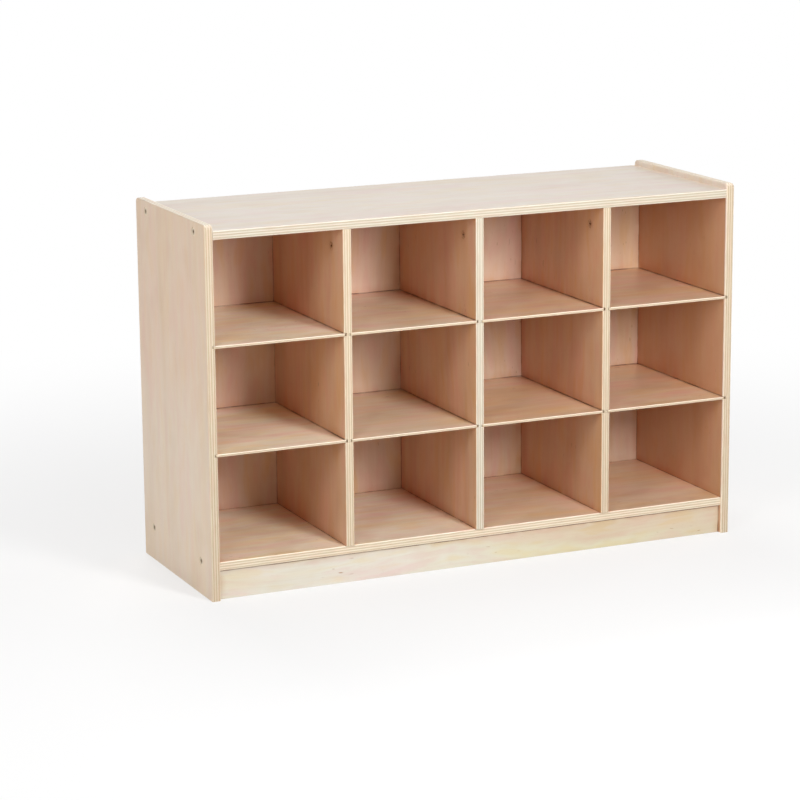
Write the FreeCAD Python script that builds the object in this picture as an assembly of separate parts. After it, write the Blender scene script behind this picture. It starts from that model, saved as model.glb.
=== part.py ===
import FreeCAD, Part
import math
import os

os.makedirs("parts", exist_ok=True)

# An open cabinet of birch plywood with four columns of three compartments.
# Millimetres. +Z up, front towards -Y, origin at the middle of the footprint on the floor.

# Overall size
overall_width = 977.9
overall_depth = 330.2
overall_height = 625.6

# Layout
divider_names = ["divider_left", "divider_centre", "divider_right"]
panel_thickness = 15.0
lip_height = 10.0
kick_board_height = 50.0
lower_opening_height = 178.0
middle_opening_height = 175.5

# Set-backs from the front edges of the sides
top_setback = 1.0
divider_setback = 1.0
shelf_setback = 1.5
bottom_setback = 4.0
kick_board_setback = 9.0

# Set-back of the rear kick board from the rear edges of the sides, clear of the back panel
rear_kick_board_setback = 25.0

# Edge treatment
side_corner_radius = 8.0
side_edge_radius = 2.5
panel_edge_radius = 2.0
divider_edge_radius = 1.8
kick_board_edge_radius = 1.0
largest_radius_share = 0.45

# Thin shelves in through grooves
shelf_thickness = 4.5
shelf_corner_radius = 3.0
shelf_edge_chamfer = 0.8
shelf_end_play = 1.5
shelf_rear_play = 1.0
groove_depth = 5.0
groove_play_below = 0.25
groove_play_above = 0.8

# Back panel in a groove that goes round the carcass
back_thickness = 5.0
back_inset = 15.0
back_groove_depth = 6.0
back_edge_play = 0.5
back_face_play = 0.15

# Side bolts into barrel nuts
bolt_inset = 50.0
bolt_diameter = 6.0
bolt_head_diameter = 14.0
bolt_head_thickness = 2.6
bolt_head_recess = 0.3
bolt_socket_flats = 5.0
bolt_socket_depth = 2.2
bolt_head_chamfer = 0.6
bolt_reach = 8.0
nut_diameter = 10.0
nut_length = 13.0
nut_distance = 35.0
nut_slot_width = 1.5
nut_slot_depth = 1.2

# Cam locks and their bolts
cam_diameter = 15.0
cam_depth = 12.5
cam_distance = 34.0
cam_recess_width = 1.6
cam_recess_length = 7.5
cam_recess_depth = 3.0
cam_mark_diameter = 1.6
cam_mark_distance = 5.4
cam_mark_depth = 0.5
cam_pocket_clearance = 0.4
cam_mouth_clearance = 0.3
cam_bolt_diameter = 6.0
cam_bolt_tip_diameter = 3.0
cam_bolt_tip_length = 3.0
cam_bolt_neck_diameter = 3.4
cam_bolt_head_diameter = 6.4
cam_bolt_head_length = 3.2
cam_bolt_head_chamfer = 0.8
cam_bolt_neck_length = 6.5
cam_bolt_neck_taper = 1.0
cam_bolt_collar_diameter = 8.0
cam_bolt_collar_thickness = 1.6
cam_bolt_bite = 11.0
divider_cam_inset = 49.0
kick_board_cam_spread = 300.0

# Dowels
dowel_diameter = 8.0
dowel_length = 30.0
dowel_bite = 10.0
dowel_chamfer = 1.0
corner_dowel_spread = 60.0

# Screws up into the dividers
screw_diameter = 6.4
screw_length = 50.0
screw_head_diameter = 10.0
screw_head_depth = 4.0
screw_head_rim = 0.8
screw_tip_diameter = 2.0
screw_tip_length = 5.0
screw_socket_flats = 4.0
screw_socket_depth = 3.0

# Clearance between a round fastener and its hole, on the radius
hole_clearance = 0.1

# How far a cut runs on past the face that it opens
overcut = 1.0

# How near a place has to be to count as the same
tolerance = 1e-4

# Places that follow from the sizes above
half_width = overall_width / 2
half_depth = overall_depth / 2
front = -half_depth
rear = half_depth
inner_half_width = half_width - panel_thickness
bottom_underside = kick_board_height
bottom_upper = bottom_underside + panel_thickness
top_upper = overall_height - lip_height
top_underside = top_upper - panel_thickness
back_rear_face = rear - back_inset
back_front_face = back_rear_face - back_thickness
column_count = len(divider_names) + 1
column_width = (overall_width - (column_count + 1) * panel_thickness) / column_count
lower_shelf_underside = bottom_upper + lower_opening_height
shelf_levels = {
    "lower": lower_shelf_underside,
    "upper": lower_shelf_underside + shelf_thickness + middle_opening_height,
}
bottom_panel_middle = bottom_underside + panel_thickness / 2
top_panel_middle = top_upper - panel_thickness / 2

X = FreeCAD.Vector(1, 0, 0)
Y = FreeCAD.Vector(0, 1, 0)
Z = FreeCAD.Vector(0, 0, 1)


def point(x, y, z):
    return FreeCAD.Vector(x, y, z)


def column_left(column):
    """Left wall of a column's space, column 0 being the leftmost."""
    return -inner_half_width + column * (column_width + panel_thickness)


def divider_left_face(index):
    return column_left(index) + column_width


def box(low, high):
    size = high - low
    return Part.makeBox(size.x, size.y, size.z, low)


def cylinder(radius, length, base, direction):
    return Part.makeCylinder(radius, length, base, direction)


def runs_along(edge, direction):
    if edge.Curve.TypeId != "Part::GeomLine":
        return False
    return abs(abs(edge.tangentAt(edge.FirstParameter).dot(direction)) - 1) < tolerance


def edges_at(shape, direction, **place):
    """Straight edges along a direction whose middle lies at the given x, y or z."""
    found = []
    for edge in shape.Edges:
        middle = edge.CenterOfMass
        if runs_along(edge, direction) and all(
            abs(getattr(middle, axis) - value) < tolerance for axis, value in place.items()
        ):
            found.append(edge)
    return found


def eased_radius(radius, thickness):
    """Edge radius, held to what the board's thickness leaves room for."""
    return min(radius, thickness * largest_radius_share)


def revolved(profile, base, direction):
    """Solid turned from (radius, height) points, its axis from base along direction."""
    points = [point(radius, 0, height) for radius, height in profile]
    face = Part.Face(Part.makePolygon(points + points[:1]))
    solid = face.revolve(point(0, 0, 0), Z, 360)
    solid.Placement = FreeCAD.Placement(base, FreeCAD.Rotation(Z, direction))
    return solid


def hexagon_prism(flats, length, base, direction):
    radius = flats / (2 * math.cos(math.pi / 6))
    corners = [
        point(radius * math.cos(math.radians(60 * i)), radius * math.sin(math.radians(60 * i)), 0)
        for i in range(7)
    ]
    prism = Part.Face(Part.makePolygon(corners)).extrude(Z * length)
    prism.Placement = FreeCAD.Placement(base, FreeCAD.Rotation(Z, direction))
    return prism


def write(name, solids):
    shape = solids[0] if len(solids) == 1 else Part.makeCompound(solids)
    if not shape.isValid():
        raise ValueError(name + " is not a valid solid")
    shape.exportStep("parts/" + name + ".step")


def side_bolt_places():
    """Side (-1 left, 1 right), depth and height of each bolt through a side panel."""
    return [
        (side, y, z)
        for side in (-1, 1)
        for y in (front + bolt_inset, rear - bolt_inset)
        for z in (bottom_panel_middle, top_panel_middle)
    ]


def corner_dowel_places():
    """Side, depth and height of each dowel between a side and the top or bottom panel."""
    return [
        (side, y, z)
        for side in (-1, 1)
        for y in (-corner_dowel_spread, corner_dowel_spread)
        for z in (bottom_panel_middle, top_panel_middle)
    ]


def corner_dowel_base(side, y, z):
    """End of a corner dowel that lies in the side panel."""
    return point(side * (inner_half_width + dowel_bite), y, z)


def kick_board_faces():
    """Front and rear board: y of the outer face, and the way that face looks."""
    return {
        "front_kick_board": (front + kick_board_setback, -1),
        "rear_kick_board": (rear - rear_kick_board_setback, 1),
    }


def kick_board_middle(name):
    outer, way = kick_board_faces()[name]
    return outer - way * panel_thickness / 2


def divider_fastener_depths():
    """Depths of the front and rear fastener of a divider."""
    return (front + divider_cam_inset, rear - divider_cam_inset)


def groove_slot(x_low, x_high, level):
    """Space of one shelf groove, open through the front and rear edges."""
    return box(
        point(x_low, front - overcut, level - groove_play_below),
        point(x_high, rear + overcut, level + shelf_thickness + groove_play_above),
    )


def side_bolt(side, y, z):
    """Bolt from a side panel's outer face inwards, with a flat hex-socket head."""
    seat = point(side * (half_width - bolt_head_recess), y, z)
    inwards = X * -side
    head_radius = bolt_head_diameter / 2
    shank_radius = bolt_diameter / 2
    tip = panel_thickness - bolt_head_recess + nut_distance + bolt_reach
    profile = [
        (0, 0),
        (head_radius - bolt_head_chamfer, 0),
        (head_radius, bolt_head_chamfer),
        (head_radius, bolt_head_thickness),
        (shank_radius, bolt_head_thickness),
        (shank_radius, tip - bolt_head_chamfer),
        (shank_radius - bolt_head_chamfer, tip),
        (0, tip),
    ]
    bolt = revolved(profile, seat, inwards)
    return bolt.cut(hexagon_prism(bolt_socket_flats, bolt_socket_depth, seat, inwards))


def side_bolt_hole(side, y, z):
    """Counterbore for the head, and the shank's hole on into the panel behind."""
    outside = point(side * half_width, y, z)
    inwards = X * -side
    head = cylinder(
        bolt_head_diameter / 2 + hole_clearance,
        bolt_head_recess + bolt_head_thickness + hole_clearance,
        outside,
        inwards,
    )
    length = panel_thickness + nut_distance + bolt_reach + overcut
    shank = cylinder(bolt_diameter / 2 + hole_clearance, length, outside, inwards)
    return head.fuse(shank)


def nut_base(side, y, z):
    """Slotted face of a barrel nut, flush with the underside of its panel."""
    return point(side * (inner_half_width - nut_distance), y, z - panel_thickness / 2)


def barrel_nut(side, y, z):
    base = nut_base(side, y, z)
    reach = nut_diameter / 2 + overcut
    nut = cylinder(nut_diameter / 2, nut_length, base, Z)
    thread = cylinder(bolt_diameter / 2 + hole_clearance, 2 * reach, point(base.x - reach, y, z), X)
    slot = box(
        point(base.x - reach, y - nut_slot_width / 2, base.z - overcut),
        point(base.x + reach, y + nut_slot_width / 2, base.z + nut_slot_depth),
    )
    return nut.cut([thread, slot])


def nut_hole(side, y, z):
    base = nut_base(side, y, z)
    return cylinder(nut_diameter / 2 + hole_clearance, nut_length + hole_clearance, base, Z)


def dowel(base, direction):
    radius = dowel_diameter / 2
    profile = [
        (0, 0),
        (radius - dowel_chamfer, 0),
        (radius, dowel_chamfer),
        (radius, dowel_length - dowel_chamfer),
        (radius - dowel_chamfer, dowel_length),
        (0, dowel_length),
    ]
    return revolved(profile, base, direction)


def dowel_hole(base, direction):
    start = base - direction * hole_clearance
    length = dowel_length + 2 * hole_clearance
    return cylinder(dowel_diameter / 2 + hole_clearance, length, start, direction)


def cam_recess_bar(centre, along, sideways, outwards):
    """One arm of the cross that a screwdriver turns, cut into a cam lock's outer end."""
    half = along * (cam_recess_length / 2) + sideways * (cam_recess_width / 2)
    span = FreeCAD.BoundBox()
    span.add(centre - half - outwards * cam_recess_depth)
    span.add(centre + half + outwards * overcut)
    return box(point(span.XMin, span.YMin, span.ZMin), point(span.XMax, span.YMax, span.ZMax))


def cam_lock(centre, joint_way, outwards):
    """Cam lock with its slotted end at centre and its mouth turned towards the joint."""
    radius = cam_diameter / 2
    body = cylinder(radius, cam_depth, centre, outwards * -1)
    across = joint_way.cross(outwards)
    bolt_axis = centre - outwards * (panel_thickness / 2)
    pocket_radius = cam_bolt_head_diameter / 2 + cam_pocket_clearance
    mouth_radius = cam_bolt_neck_diameter / 2 + cam_mouth_clearance
    mark_base = centre + joint_way * cam_mark_distance - outwards * cam_mark_depth
    return body.cut([
        cylinder(pocket_radius, radius, bolt_axis - joint_way * (radius / 2), joint_way),
        cylinder(mouth_radius, radius + overcut, bolt_axis, joint_way),
        cam_recess_bar(centre, joint_way, across, outwards),
        cam_recess_bar(centre, across, joint_way, outwards),
        cylinder(cam_mark_diameter / 2, cam_mark_depth + overcut, mark_base, outwards),
    ])


def cam_hole(centre, towards_face):
    return cylinder(
        cam_diameter / 2 + hole_clearance, cam_depth + hole_clearance, centre, towards_face * -1
    )


def cam_bolt(joint, direction):
    """Bolt screwed into the panel past the joint, its headed end reaching the cam.

    direction points from the joint towards the cam.
    """
    tip_radius = cam_bolt_tip_diameter / 2
    thread_radius = cam_bolt_diameter / 2
    neck_radius = cam_bolt_neck_diameter / 2
    head_radius = cam_bolt_head_diameter / 2
    collar_radius = cam_bolt_collar_diameter / 2
    head_end = cam_distance + cam_bolt_head_length / 2
    head_start = head_end - cam_bolt_head_length
    neck_start = head_start - cam_bolt_neck_length
    profile = [
        (0, -cam_bolt_bite),
        (tip_radius, -cam_bolt_bite),
        (thread_radius, -cam_bolt_bite + cam_bolt_tip_length),
        (thread_radius, 0),
        (collar_radius, 0),
        (collar_radius, cam_bolt_collar_thickness),
        (thread_radius, cam_bolt_collar_thickness),
        (thread_radius, neck_start - cam_bolt_neck_taper),
        (neck_radius, neck_start),
        (neck_radius, head_start),
        (head_radius, head_start + cam_bolt_head_chamfer),
        (head_radius, head_end - cam_bolt_head_chamfer),
        (head_radius - cam_bolt_head_chamfer, head_end),
        (0, head_end),
    ]
    return revolved(profile, joint, direction)


def cam_bolt_hole(joint, direction):
    """Threaded end's hole on one side of the joint and the shank's on the other."""
    bite = cylinder(
        cam_bolt_diameter / 2 + hole_clearance,
        cam_bolt_bite + hole_clearance,
        joint,
        direction * -1,
    )
    shank = cylinder(cam_bolt_collar_diameter / 2 + hole_clearance, cam_distance, joint, direction)
    return bite.fuse(shank)


def divider_screw(x, y):
    """Countersunk screw up through the bottom panel, its head flush below."""
    radius = screw_diameter / 2
    head_radius = screw_head_diameter / 2
    profile = [
        (0, 0),
        (head_radius, 0),
        (head_radius, screw_head_rim),
        (radius, screw_head_depth),
        (radius, screw_length - screw_tip_length),
        (screw_tip_diameter / 2, screw_length),
        (0, screw_length),
    ]
    base = point(x, y, bottom_underside)
    return revolved(profile, base, Z).cut(hexagon_prism(screw_socket_flats, screw_socket_depth, base, Z))


def divider_screw_hole(x, y):
    base = point(x, y, bottom_underside)
    head_radius = screw_head_diameter / 2 + hole_clearance
    shank_radius = screw_diameter / 2 + hole_clearance
    end = screw_length + hole_clearance
    profile = [
        (0, 0),
        (head_radius, 0),
        (head_radius, screw_head_rim),
        (shank_radius, screw_head_depth),
        (shank_radius, end),
        (0, end),
    ]
    return revolved(profile, base, Z)


def divider_middle(index):
    return divider_left_face(index) + panel_thickness / 2


def divider_cam_centre(index, y):
    return point(divider_left_face(index), y, top_underside - cam_distance)


def kick_board_cam_centre(name, x):
    outer, way = kick_board_faces()[name]
    return point(x, outer - way * panel_thickness, bottom_underside - cam_distance)


def divider_dowel_bases(index):
    """Lower ends of the dowels into the top panel and into the bottom panel."""
    x = divider_middle(index)
    return [
        point(x, 0, top_underside + dowel_bite - dowel_length),
        point(x, 0, bottom_upper - dowel_bite),
    ]


def kick_board_dowel_bases(name):
    """Outer end and inward direction of the dowel at each end of a board."""
    y = kick_board_middle(name)
    z = kick_board_height / 2
    return [(point(side * (inner_half_width + dowel_bite), y, z), X * -side) for side in (-1, 1)]


def side_joint_holes(sides, levels):
    """Holes of the side bolts, barrel nuts and corner dowels at these sides and heights."""
    tools = []
    for side, y, z in side_bolt_places():
        if side in sides and z in levels:
            tools += [side_bolt_hole(side, y, z), nut_hole(side, y, z)]
    for side, y, z in corner_dowel_places():
        if side in sides and z in levels:
            tools.append(dowel_hole(corner_dowel_base(side, y, z), X * -side))
    return tools


def side_panel(side):
    """Side with rounded top corners and long edges, shelf grooves and bolt holes."""
    outer = side * half_width
    inner = side * inner_half_width
    x_low = min(outer, inner)
    radius = side_corner_radius
    bend = radius * (1 - math.sqrt(0.5))
    foot_front = point(x_low, front, 0)
    foot_rear = point(x_low, rear, 0)
    front_bend = point(x_low, front, overall_height - radius)
    rear_bend = point(x_low, rear, overall_height - radius)
    top_front = point(x_low, front + radius, overall_height)
    top_rear = point(x_low, rear - radius, overall_height)
    outline = Part.Wire([
        Part.LineSegment(foot_front, front_bend).toShape(),
        Part.Arc(front_bend, point(x_low, front + bend, overall_height - bend), top_front).toShape(),
        Part.LineSegment(top_front, top_rear).toShape(),
        Part.Arc(top_rear, point(x_low, rear - bend, overall_height - bend), rear_bend).toShape(),
        Part.LineSegment(rear_bend, foot_rear).toShape(),
        Part.LineSegment(foot_rear, foot_front).toShape(),
    ])
    panel = Part.Face(outline).extrude(X * panel_thickness)
    rounded = [
        edge
        for edge in panel.Edges
        if not runs_along(edge, X) and edge.BoundBox.ZMax > tolerance
    ]
    panel = panel.makeFillet(eased_radius(side_edge_radius, panel_thickness), rounded)

    tools = [
        groove_slot(
            min(inner, inner + side * groove_depth),
            max(inner, inner + side * groove_depth),
            level,
        )
        for level in shelf_levels.values()
    ]
    groove_end = inner + side * back_groove_depth
    tools.append(box(
        point(min(inner, groove_end), back_front_face - back_face_play, bottom_upper - back_groove_depth),
        point(max(inner, groove_end), back_rear_face + back_face_play, top_underside + back_groove_depth),
    ))
    tools += side_joint_holes([side], [bottom_panel_middle, top_panel_middle])
    for name in kick_board_faces():
        tools += [
            dowel_hole(base, direction)
            for base, direction in kick_board_dowel_bases(name)
            if direction.x * side < 0
        ]
    return panel.cut(tools)


def level_panel(low, high, setback):
    """Top or bottom panel between the sides, with a rounded front edge."""
    panel = box(
        point(-inner_half_width, front + setback, low),
        point(inner_half_width, rear, high),
    )
    front_edges = edges_at(panel, X, y=front + setback)
    return panel.makeFillet(eased_radius(panel_edge_radius, panel_thickness), front_edges)


def back_groove(z_low, z_high):
    return box(
        point(-inner_half_width - overcut, back_front_face - back_face_play, z_low),
        point(inner_half_width + overcut, back_rear_face + back_face_play, z_high),
    )


def top_panel():
    tools = side_joint_holes([-1, 1], [top_panel_middle])
    tools.append(back_groove(top_underside - overcut, top_underside + back_groove_depth))
    for index in range(len(divider_names)):
        for y in divider_fastener_depths():
            tools.append(cam_bolt_hole(point(divider_middle(index), y, top_underside), Z * -1))
        tools.append(dowel_hole(divider_dowel_bases(index)[0], Z))
    return level_panel(top_underside, top_upper, top_setback).cut(tools)


def bottom_panel():
    tools = side_joint_holes([-1, 1], [bottom_panel_middle])
    tools.append(back_groove(bottom_upper - back_groove_depth, bottom_upper + overcut))
    for index in range(len(divider_names)):
        for y in divider_fastener_depths():
            tools.append(divider_screw_hole(divider_middle(index), y))
        tools.append(dowel_hole(divider_dowel_bases(index)[1], Z))
    for name in kick_board_faces():
        for x in (-kick_board_cam_spread, kick_board_cam_spread):
            joint = point(x, kick_board_middle(name), bottom_underside)
            tools.append(cam_bolt_hole(joint, Z * -1))
    return level_panel(bottom_underside, bottom_upper, bottom_setback).cut(tools)


def divider(index):
    """Upright between bottom and top, with shelf grooves in both faces."""
    left = divider_left_face(index)
    right = left + panel_thickness
    panel = box(
        point(left, front + divider_setback, bottom_upper),
        point(right, back_front_face - back_face_play, top_underside),
    )
    front_edges = edges_at(panel, Z, y=front + divider_setback)
    panel = panel.makeFillet(eased_radius(divider_edge_radius, panel_thickness), front_edges)
    tools = []
    for level in shelf_levels.values():
        tools.append(groove_slot(left - overcut, left + groove_depth, level))
        tools.append(groove_slot(right - groove_depth, right + overcut, level))
    for y in divider_fastener_depths():
        tools.append(cam_hole(divider_cam_centre(index, y), X * -1))
        tools.append(cam_bolt_hole(point(divider_middle(index), y, top_underside), Z * -1))
        tools.append(divider_screw_hole(divider_middle(index), y))
    for base in divider_dowel_bases(index):
        tools.append(dowel_hole(base, Z))
    return panel.cut(tools)


def shelf(column, level):
    """Thin shelf with rounded front corners, its arrises taken off round the front."""
    reach = groove_depth - shelf_end_play
    left = column_left(column) - reach
    right = column_left(column) + column_width + reach
    shelf_front = front + shelf_setback
    board = box(
        point(left, shelf_front, level),
        point(right, back_front_face - shelf_rear_play, level + shelf_thickness),
    )
    board = board.makeFillet(shelf_corner_radius, edges_at(board, Z, y=shelf_front))
    chamfer = eased_radius(shelf_edge_chamfer, shelf_thickness)
    return board.makeChamfer(chamfer, edges_at(board, X, y=shelf_front))


def kick_board(name):
    outer, way = kick_board_faces()[name]
    inner = outer - way * panel_thickness
    board = box(
        point(-inner_half_width, min(outer, inner), 0),
        point(inner_half_width, max(outer, inner), kick_board_height),
    )
    board = board.makeFillet(kick_board_edge_radius, edges_at(board, X, y=outer, z=0))
    tools = []
    for x in (-kick_board_cam_spread, kick_board_cam_spread):
        tools.append(cam_hole(kick_board_cam_centre(name, x), Y * -way))
        joint = point(x, kick_board_middle(name), bottom_underside)
        tools.append(cam_bolt_hole(joint, Z * -1))
    for base, direction in kick_board_dowel_bases(name):
        tools.append(dowel_hole(base, direction))
    return board.cut(tools)


def back_panel():
    reach = back_groove_depth - back_edge_play
    return box(
        point(-inner_half_width - reach, back_front_face, bottom_upper - reach),
        point(inner_half_width + reach, back_rear_face, top_underside + reach),
    )


def write_boards():
    write("side_panel_left", [side_panel(-1)])
    write("side_panel_right", [side_panel(1)])
    write("top_panel", [top_panel()])
    write("bottom_panel", [bottom_panel()])
    write("back_panel", [back_panel()])
    for index, name in enumerate(divider_names):
        write(name, [divider(index)])
    for name in kick_board_faces():
        write(name, [kick_board(name)])
    for row, level in shelf_levels.items():
        for column in range(column_count):
            write(row + "_shelf_" + str(column + 1), [shelf(column, level)])


def write_fasteners():
    write("side_bolts", [side_bolt(*place) for place in side_bolt_places()])
    write("barrel_nuts", [barrel_nut(*place) for place in side_bolt_places()])
    write("corner_dowels", [
        dowel(corner_dowel_base(side, y, z), X * -side) for side, y, z in corner_dowel_places()
    ])
    dividers = range(len(divider_names))
    depths = divider_fastener_depths()
    write("divider_cam_locks", [
        cam_lock(divider_cam_centre(index, y), Z, X * -1) for index in dividers for y in depths
    ])
    write("divider_cam_bolts", [
        cam_bolt(point(divider_middle(index), y, top_underside), Z * -1)
        for index in dividers
        for y in depths
    ])
    write("divider_screws", [
        divider_screw(divider_middle(index), y) for index in dividers for y in depths
    ])
    write("divider_dowels", [
        dowel(base, Z) for index in dividers for base in divider_dowel_bases(index)
    ])
    boards = kick_board_faces()
    spread = (-kick_board_cam_spread, kick_board_cam_spread)
    write("kick_board_cam_locks", [
        cam_lock(kick_board_cam_centre(name, x), Z, Y * -boards[name][1])
        for name in boards
        for x in spread
    ])
    write("kick_board_cam_bolts", [
        cam_bolt(point(x, kick_board_middle(name), bottom_underside), Z * -1)
        for name in boards
        for x in spread
    ])
    write("kick_board_dowels", [
        dowel(base, direction)
        for name in boards
        for base, direction in kick_board_dowel_bases(name)
    ])


write_boards()
write_fasteners()
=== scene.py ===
import bmesh
import bpy
import math
from mathutils import Matrix, Vector


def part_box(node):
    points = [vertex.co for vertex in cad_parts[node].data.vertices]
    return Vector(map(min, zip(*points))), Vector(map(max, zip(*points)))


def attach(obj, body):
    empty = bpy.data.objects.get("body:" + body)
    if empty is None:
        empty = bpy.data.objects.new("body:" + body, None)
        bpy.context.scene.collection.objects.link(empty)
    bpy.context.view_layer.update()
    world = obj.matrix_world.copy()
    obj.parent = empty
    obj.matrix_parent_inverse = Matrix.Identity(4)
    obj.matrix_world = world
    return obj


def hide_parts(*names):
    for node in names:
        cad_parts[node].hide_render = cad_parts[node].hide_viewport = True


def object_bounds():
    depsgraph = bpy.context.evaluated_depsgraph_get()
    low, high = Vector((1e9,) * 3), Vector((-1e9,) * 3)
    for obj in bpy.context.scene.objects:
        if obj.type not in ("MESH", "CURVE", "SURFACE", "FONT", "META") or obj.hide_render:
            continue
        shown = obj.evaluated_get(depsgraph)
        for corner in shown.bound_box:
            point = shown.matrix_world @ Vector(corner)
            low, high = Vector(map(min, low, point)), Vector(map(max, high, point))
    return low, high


# Looks of an open birch plywood cabinet. Metres, +Z up, the front towards -Y.

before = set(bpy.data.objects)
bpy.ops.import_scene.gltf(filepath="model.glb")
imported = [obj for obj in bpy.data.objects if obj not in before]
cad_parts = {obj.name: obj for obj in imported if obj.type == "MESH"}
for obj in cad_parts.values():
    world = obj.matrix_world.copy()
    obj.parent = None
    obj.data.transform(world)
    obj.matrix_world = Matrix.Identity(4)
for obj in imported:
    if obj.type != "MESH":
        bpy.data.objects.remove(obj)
cad_low, cad_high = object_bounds()

MM = 0.001
X, Y, Z = Vector((1, 0, 0)), Vector((0, 1, 0)), Vector((0, 0, 1))

# Camera, angles in degrees
camera_yaw = 24.233
camera_pitch = 12.968
camera_roll = -0.466
camera_distance = 4.9437
camera_target = Vector((-0.0745, 0.0, 0.2643))
camera_lens = 128.59
camera_sensor = 36.0

# Veneers, linear colours
side_veneer = (0.75, 0.605, 0.455)
side_veneer_high = (0.72, 0.54, 0.375)
side_veneer_reverse = (0.77, 0.665, 0.555)
top_veneer = (0.74, 0.655, 0.56)
kick_board_veneer = (0.61, 0.585, 0.505)
kick_board_veneer_right = (0.57, 0.535, 0.39)
shelf_veneer = (0.765, 0.575, 0.405)
shelf_veneers = ((0.92, 0.84, 0.67), (0.77, 0.635, 0.475), shelf_veneer, shelf_veneer)
bottom_veneer_left = (0.86, 0.76, 0.61)
bottom_veneer_right = (0.76, 0.575, 0.415)
back_veneer = (0.675, 0.485, 0.355)
back_veneer_right = (0.67, 0.508, 0.388)
divider_veneer = (0.65, 0.415, 0.262)

# Tints that multiply a veneer
white = (1.0, 1.0, 1.0)
# Painted shade: faces sheltered inside the compartments are tinted darker and warmer
sheltered_side_shade = (0.775, 0.52, 0.352)
sheltered_top_shade = (0.94, 0.69, 0.515)
tan_tint = (1.0, 0.945, 0.82)
rose_tint = (1.0, 0.915, 0.935)
shade_tint = (0.90, 0.84, 0.79)
# Painted shade: a faint darkening beside the joints of the boards
seam_shade_tint = (0.90, 0.79, 0.71)
# Painted shade: a warmer, darker tone deep in the corners of the compartments
corner_shade_tint = (1.03, 0.86, 0.81)
fleck_brown = (0.33, 0.17, 0.085)
# Painted shade: the dark line along the joints, where the gaps lie in shade
shade_line_brown = (0.13, 0.045, 0.02)

# Cut edges of the plywood
long_grain_edge = (0.76, 0.71, 0.575)
end_grain_edge = (0.58, 0.49, 0.355)
edge_streak = (0.58, 0.48, 0.34)
edge_rose_tint = (1.0, 0.925, 0.915)
glue_line = (0.42, 0.30, 0.19)
edge_tint = (0.83, 0.77, 0.71)
edge_tints = {
    "side_panel_left": (0.79, 0.735, 0.68),
    "side_panel_right": (0.79, 0.73, 0.675),
    "divider_right": (0.79, 0.73, 0.675),
    "top_panel": (0.765, 0.775, 0.79),
    "bottom_panel": (0.92, 0.89, 0.86),
    "divider_centre": (0.79, 0.80, 0.82),
}
# Painted highlight: cut edges that face up are made lighter
crown_highlight_tint = (1.36, 1.38, 1.48)
board_layers = 7.0
thin_board_layers = 3.0
thin_board = 10.0 * MM
ply_wave_height = 0.7 * MM
glue_line_strength = 0.42

# Lacquer
lacquer_roughness = 0.42
lacquer_ior = 1.5
coat_weight = 0.5
coat_lost_on_cuts = 0.4
coat_roughness = 0.28
gloss_lost_in_streaks = 0.06
gloss_lost_on_cuts = 0.12

# Metal and beech: a clean tone and a dull one
plated_tones = (0.86, 0.74, 0.58), (0.74, 0.61, 0.46)
nut_tones = (0.66, 0.62, 0.56), (0.50, 0.47, 0.42)
zinc_tones = (0.74, 0.52, 0.35), (0.52, 0.35, 0.22)
# Painted shade: dark tones in the sockets of the cams and of the turned heads
cam_recess_shade = (0.15, 0.07, 0.025)
socket_recess_shade = (0.36, 0.29, 0.21)
plated_roughness = 0.5
nut_roughness = 0.4
zinc_roughness = 0.55
steel_grit = 900.0
zinc_grit = 600.0
beech_tone = (0.62, 0.42, 0.25)
beech_tone_dark = (0.52, 0.33, 0.19)
beech_ray = (0.34, 0.19, 0.1)
beech_roughness = 0.7

# Bump: strength and distance
birch_bump = (0.35, 0.2 * MM)
metal_bump = (0.25, 0.08 * MM)
beech_bump = (0.3, 0.1 * MM)
streak_relief = 0.35
pore_relief = 1.6
fibre_relief = 0.3
glue_line_relief = 0.9

# Noise patterns on wood: scales along the grain, across it and through, detail, roughness
patterns = {
    "wander": ((1.6, 3.0, 0.4), 1.0, 0.5),
    "bands": ((0.9, 19.0, 0.5), 3.0, 0.55),
    "hue": ((2.2, 13.0, 0.5), 2.0, 0.5),
    "fine_hue": ((12.0, 48.0, 0.5), 2.0, 0.5),
    "clouds": ((9.0, 15.0, 0.5), 2.0, 0.5),
    "stripes": ((1.8, 62.0, 0.8), 2.0, 0.6),
    "streaks": ((6.0, 330.0, 6.0), 2.0, 0.6),
    "pores": ((95.0, 2600.0, 30.0), 1.0, 0.5),
    "flecks": ((55.0, 260.0, 5.0), 1.0, 0.5),
    "fleck_zones": ((5.0, 9.0, 1.0), 0.0, 0.5),
    "ply_wave": ((14.0, 14.0, 0.0), 1.0, 0.5),
    "ply_patches": ((26.0, 26.0, 420.0), 2.0, 0.5),
    "ply_fibre": ((30.0, 30.0, 900.0), 2.0, 0.5),
    "ply_dots": ((900.0, 900.0, 1400.0), 1.0, 0.5),
}
grain_sway = 0.07
sheet_shift = (1.7, 0.61, 0.0)
pore_strength = 0.22

# Strength of the figure: calm on the sides and the top, livelier on other boards
calm_figure = {
    "Band Strength": 0.4,
    "Hue Strength": 0.6,
    "Streak Strength": 0.15,
    "Fleck Strength": 0.25,
}
lively_figure = {
    "Band Strength": 0.7,
    "Hue Strength": 1.0,
    "Streak Strength": 0.35,
    "Fleck Strength": 0.8,
}
faint_blotches = 0.35
strong_blotches = 0.8

# Joints of the boards, and the shade painted along them
shelf_play = 0.8 * MM
shade_line_width = 0.9 * MM
# Painted shade: width of the darkening beside the joints
seam_shade_width = 14.0 * MM
# Painted shade: a wider dark line along the kick board's top, under the bottom panel, and at its
# ends
kick_board_shade_line_width = 2.6 * MM
rear_joint_narrowing = 3.0
rear_joint_gap = 0.5 * MM
# Painted shade in the corners: its reach, and the depths from the back where it starts and is full
corner_shade_width = 65.0 * MM
corner_shade_start = 250.0 * MM
corner_shade_full = 120.0 * MM

# Pieces in sets
dividers = ("divider_left", "divider_centre", "divider_right")
kick_boards = ("front_kick_board", "rear_kick_board")
level_panels = ("bottom_panel", "top_panel")

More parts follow.
